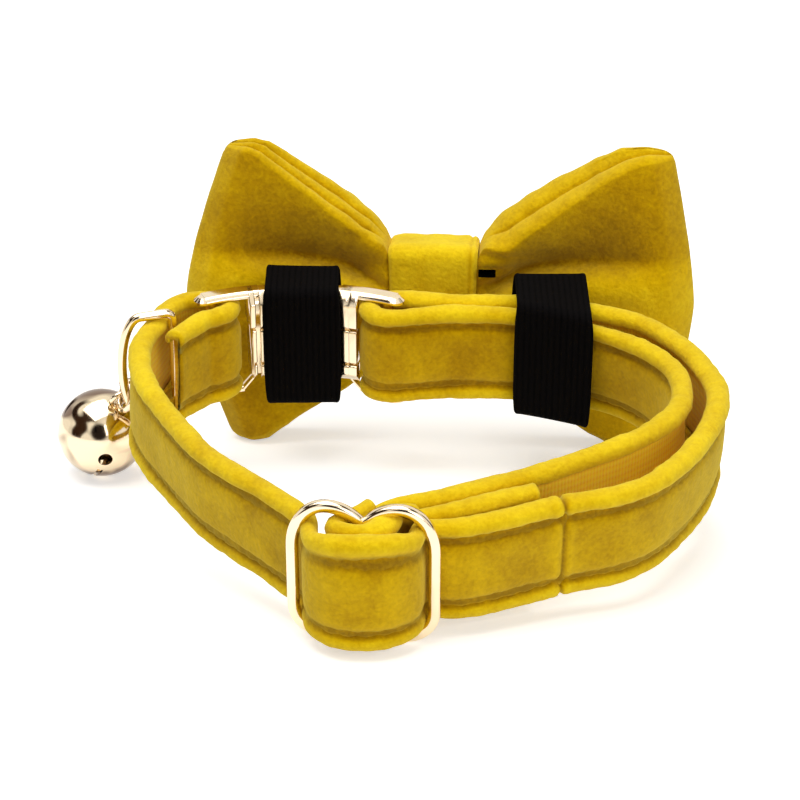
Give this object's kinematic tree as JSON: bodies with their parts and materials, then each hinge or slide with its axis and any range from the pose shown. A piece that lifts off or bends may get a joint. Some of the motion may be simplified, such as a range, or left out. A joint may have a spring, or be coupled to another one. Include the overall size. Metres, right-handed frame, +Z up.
{
  "type": "pet bow tie collar",
  "caption": "Velvet pet collar with a bow tie, side-release buckle, slider, D-ring and small bell, lying on its lower edge.",
  "frame": {"origin": "under the middle of the whole collar, on the surface it lies on", "axes": "+Z up; +X along the back run of the strap and the bow; +Y from the slider towards the bow"},
  "size_m": [0.1128, 0.098, 0.0555],
  "materials": {
    "velvet": "mustard yellow short-pile velvet",
    "webbing": "ribbed orange-yellow woven tape",
    "gold": "polished champagne gold plate",
    "elastic": "matt black woven elastic"
  },
  "bodies": {
    "root": {"strap_velvet": "velvet", "strap_webbing": "webbing", "slider": "gold", "buckle_left": "gold", "buckle_right": "gold", "d_ring": "gold", "jump_ring": "gold", "bell": "gold", "bell_ball": "gold", "bow": "velvet", "bow_knot": "velvet", "elastic_left": "elastic", "elastic_right": "elastic", "elastic_tab": "elastic"}
  },
  "joints": []
}
